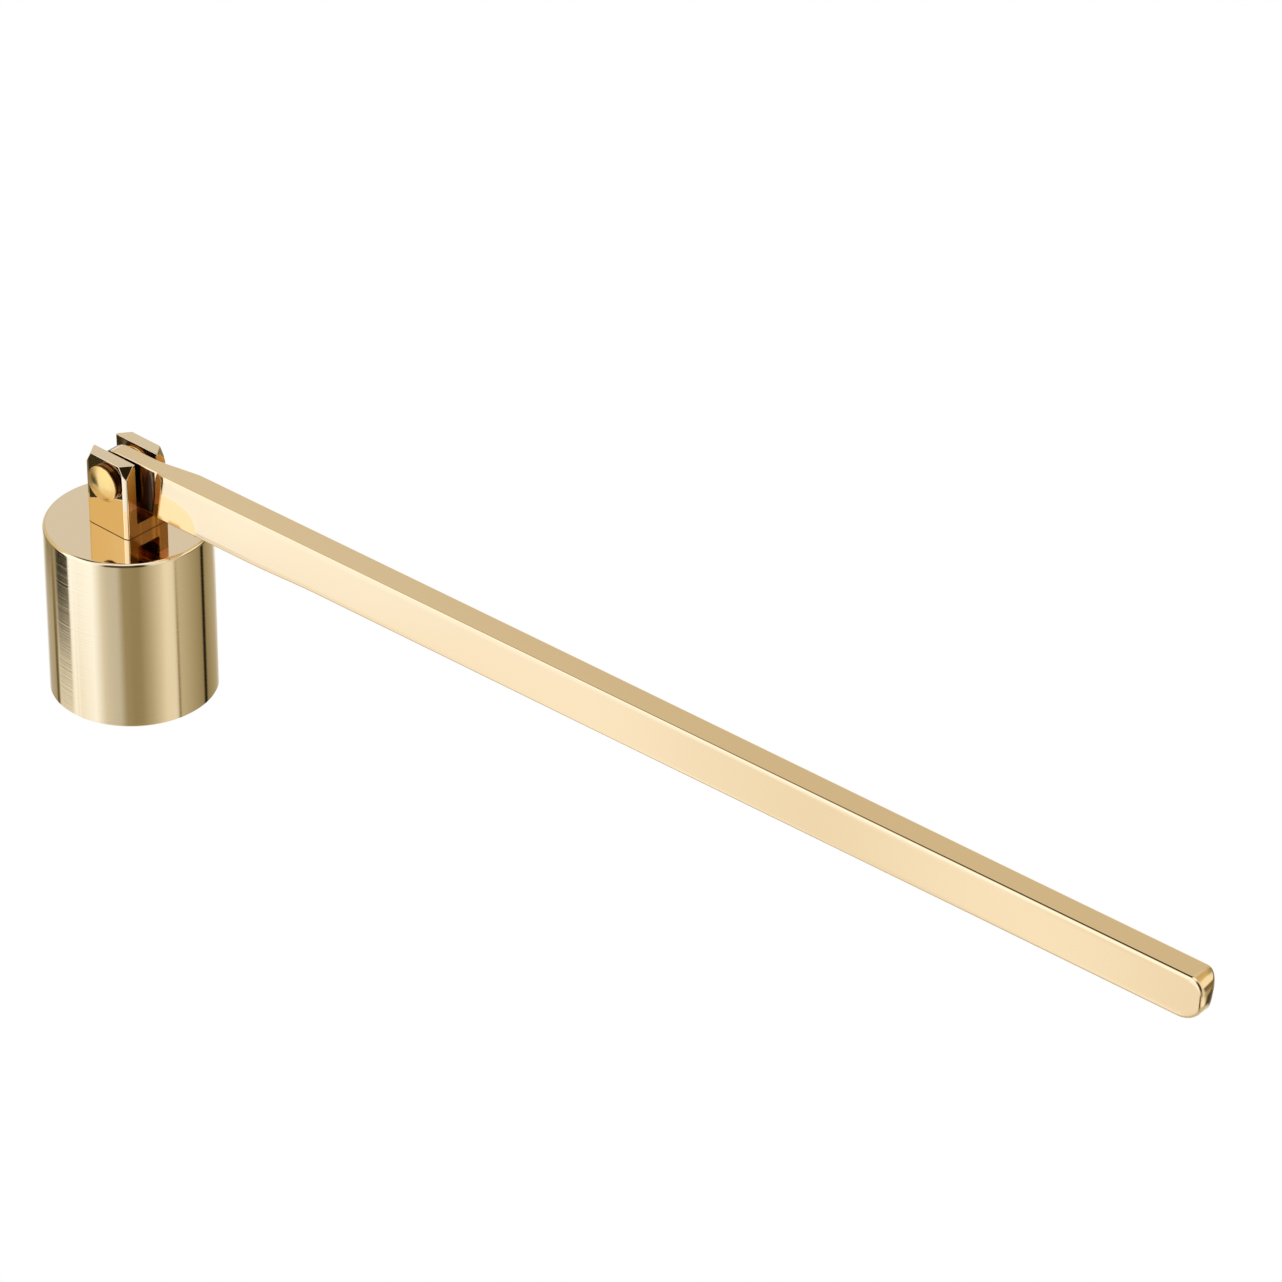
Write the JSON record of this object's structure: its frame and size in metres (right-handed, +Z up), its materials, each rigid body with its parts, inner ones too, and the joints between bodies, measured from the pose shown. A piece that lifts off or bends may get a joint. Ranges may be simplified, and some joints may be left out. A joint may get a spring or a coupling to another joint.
{
  "type": "candle snuffer",
  "caption": "Candle snuffer: a small turned cup with a U-shaped bracket on top hangs by a rivet from the thinned end of a long flat bar handle, in polished gold-coloured metal.",
  "frame": {"origin": "centre of the cup's mouth, in the plane of its rim, with the cup hanging straight down", "axes": "+Z up along the cup's axis, +X along the level handle from the hinge to its tip, +Y across the handle along the hinge's rivet"},
  "size_m": [0.206, 0.025, 0.0401],
  "materials": {
    "polished_bar": "polished",
    "turned_cup": "fine turned, satin",
    "rivet": "satin"
  },
  "bodies": {
    "handle": {"handle": "polished_bar"},
    "bell": {"bell_cup": "turned_cup", "hinge_bracket": "polished_bar", "hinge_rivet": "rivet", "near_washer": "rivet", "far_washer": "rivet"}
  },
  "joints": [
    {"name": "bell_swing", "type": "hinge", "parent": "handle", "child": "bell", "pos_m": [0, 0, 0.03635], "axis": [0, 1, 0], "range_deg": [-18, 198]}
  ]
}
